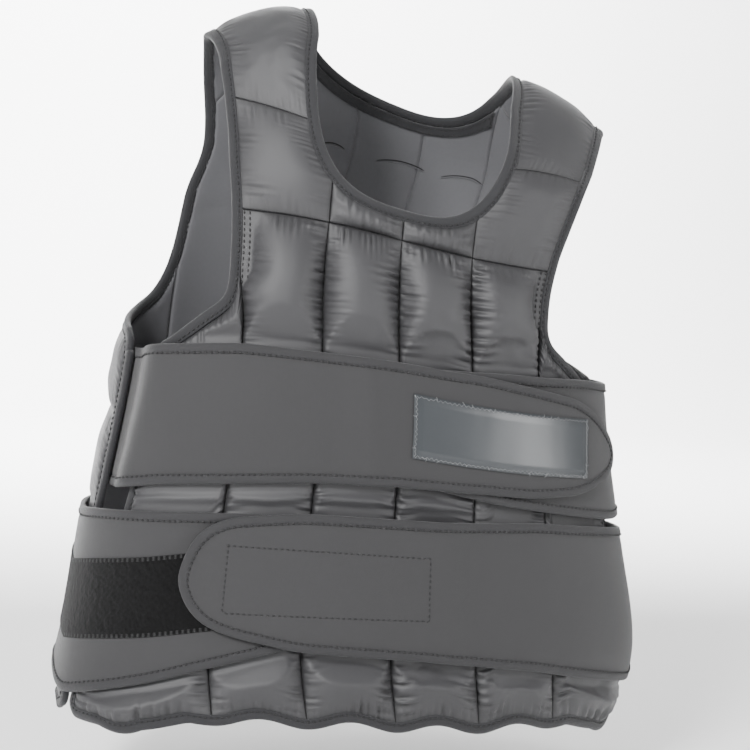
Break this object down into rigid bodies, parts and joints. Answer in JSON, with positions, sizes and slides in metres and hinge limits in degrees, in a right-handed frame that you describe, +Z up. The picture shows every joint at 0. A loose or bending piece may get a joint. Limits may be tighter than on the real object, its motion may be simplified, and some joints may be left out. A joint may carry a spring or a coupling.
{
  "type": "weighted vest",
  "caption": "Worn training vest of stuffed channels over a lining, with padded shoulders, bound edges and two wide hook-and-loop belts that wrap round the waist.",
  "frame": {"origin": "midway between the two shoulders, at the height of the shoulder folds, where a body or a hanger carries the vest", "axes": "+Z up, +Y from the front panel to the back panel, +X to the right in a front view, which is the wearer's left"},
  "size_m": [0.4443, 0.2402, 0.5247],
  "materials": {
    "satin": "semi-gloss woven nylon",
    "lining": "matt woven polyester",
    "binding": "matt folded tape",
    "neoprene": "matt knit over foam rubber",
    "loop": "fuzzy loop pile",
    "label": "smooth coated patch"
  },
  "bodies": {
    "root": {"shoulder_pad_left": "satin", "shoulder_pad_right": "satin", "front_yoke_1": "satin", "front_yoke_2": "satin", "front_yoke_3": "satin", "front_yoke_4": "satin", "front_channel_1": "satin", "front_channel_2": "satin", "front_channel_3": "satin", "front_channel_4": "satin", "front_channel_5": "satin", "front_channel_6": "satin", "back_channel_1": "satin", "back_channel_2": "satin", "back_channel_3": "satin", "back_channel_4": "satin", "back_channel_5": "satin", "back_channel_6": "satin", "back_channel_7": "satin", "front_lining": "lining", "back_lining": "lining", "back_lining_band": "binding", "neck_binding": "binding", "armhole_binding_left": "binding", "armhole_binding_right": "binding", "front_hem_binding": "binding", "back_hem_binding": "binding", "upper_belt_left": "neoprene", "upper_belt_right": "neoprene", "lower_belt_right": "neoprene", "lower_belt_left": "neoprene", "label_patch": "label", "loop_panel": "loop"}
  },
  "joints": []
}
